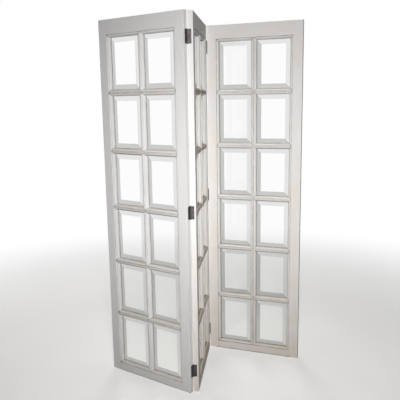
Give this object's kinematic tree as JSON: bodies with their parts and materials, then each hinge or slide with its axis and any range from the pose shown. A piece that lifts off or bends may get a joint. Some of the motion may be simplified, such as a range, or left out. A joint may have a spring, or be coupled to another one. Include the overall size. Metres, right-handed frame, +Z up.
{
  "type": "glass folding screen",
  "caption": "Zigzag folding room screen of glazed wooden panels, each with a grid of bevelled panes in moulded glazing bars, joined edge to edge by butt hinges.",
  "frame": {"origin": "on the floor, in the middle of the space that the screen takes up at rest", "axes": "+Z up. The moulded front of the outer panels faces -Y, and +X runs from the left panel to the right panel."},
  "size_m": [1.0288, 0.5534, 1.83],
  "materials": {
    "painted_wood": "off-white paint, antiqued with a grey-brown glaze in the grooves and worn at the edges",
    "clear_glass": "clear and polished, bevelled round the edge",
    "dark_metal": "dark bronze, satin"
  },
  "bodies": {
    "left_panel": {"left_panel_left_stile": "painted_wood", "left_panel_right_stile": "painted_wood", "left_panel_top_rail": "painted_wood", "left_panel_bottom_rail": "painted_wood", "left_panel_upright_bar": "painted_wood", "left_panel_cross_bar_1": "painted_wood", "left_panel_cross_bar_2": "painted_wood", "left_panel_cross_bar_3": "painted_wood", "left_panel_cross_bar_4": "painted_wood", "left_panel_cross_bar_5": "painted_wood", "left_panel_panes": "clear_glass", "left_panel_beads": "painted_wood", "left_panel_screws": "dark_metal", "left_fold_bottom_hinge_left_leaf": "dark_metal", "left_fold_middle_hinge_left_leaf": "dark_metal", "left_fold_top_hinge_left_leaf": "dark_metal"},
    "middle_panel": {"middle_panel_left_stile": "painted_wood", "middle_panel_right_stile": "painted_wood", "middle_panel_top_rail": "painted_wood", "middle_panel_bottom_rail": "painted_wood", "middle_panel_upright_bar": "painted_wood", "middle_panel_cross_bar_1": "painted_wood", "middle_panel_cross_bar_2": "painted_wood", "middle_panel_cross_bar_3": "painted_wood", "middle_panel_cross_bar_4": "painted_wood", "middle_panel_cross_bar_5": "painted_wood", "middle_panel_panes": "clear_glass", "middle_panel_beads": "painted_wood", "middle_panel_screws": "dark_metal", "left_fold_bottom_hinge_right_leaf": "dark_metal", "left_fold_bottom_hinge_pin": "dark_metal", "left_fold_middle_hinge_right_leaf": "dark_metal", "left_fold_middle_hinge_pin": "dark_metal", "left_fold_top_hinge_right_leaf": "dark_metal", "left_fold_top_hinge_pin": "dark_metal", "right_fold_bottom_hinge_left_leaf": "dark_metal", "right_fold_bottom_hinge_pin": "dark_metal", "right_fold_middle_hinge_left_leaf": "dark_metal", "right_fold_middle_hinge_pin": "dark_metal", "right_fold_top_hinge_left_leaf": "dark_metal", "right_fold_top_hinge_pin": "dark_metal"},
    "right_panel": {"right_panel_left_stile": "painted_wood", "right_panel_right_stile": "painted_wood", "right_panel_top_rail": "painted_wood", "right_panel_bottom_rail": "painted_wood", "right_panel_upright_bar": "painted_wood", "right_panel_cross_bar_1": "painted_wood", "right_panel_cross_bar_2": "painted_wood", "right_panel_cross_bar_3": "painted_wood", "right_panel_cross_bar_4": "painted_wood", "right_panel_cross_bar_5": "painted_wood", "right_panel_panes": "clear_glass", "right_panel_beads": "painted_wood", "right_panel_screws": "dark_metal", "right_fold_bottom_hinge_right_leaf": "dark_metal", "right_fold_middle_hinge_right_leaf": "dark_metal", "right_fold_top_hinge_right_leaf": "dark_metal"}
  },
  "joints": [
    {"name": "left_fold", "type": "hinge", "parent": "middle_panel", "child": "left_panel", "pos_m": [-0.07312, -0.25628, 0.915], "axis": [0, 0, 1], "range_deg": [-63.3, 116.7]},
    {"name": "right_fold", "type": "hinge", "parent": "middle_panel", "child": "right_panel", "pos_m": [0.02024, 0.25294, 0.915], "axis": [0, 0, 1], "range_deg": [-77.7, 102.3]}
  ]
}
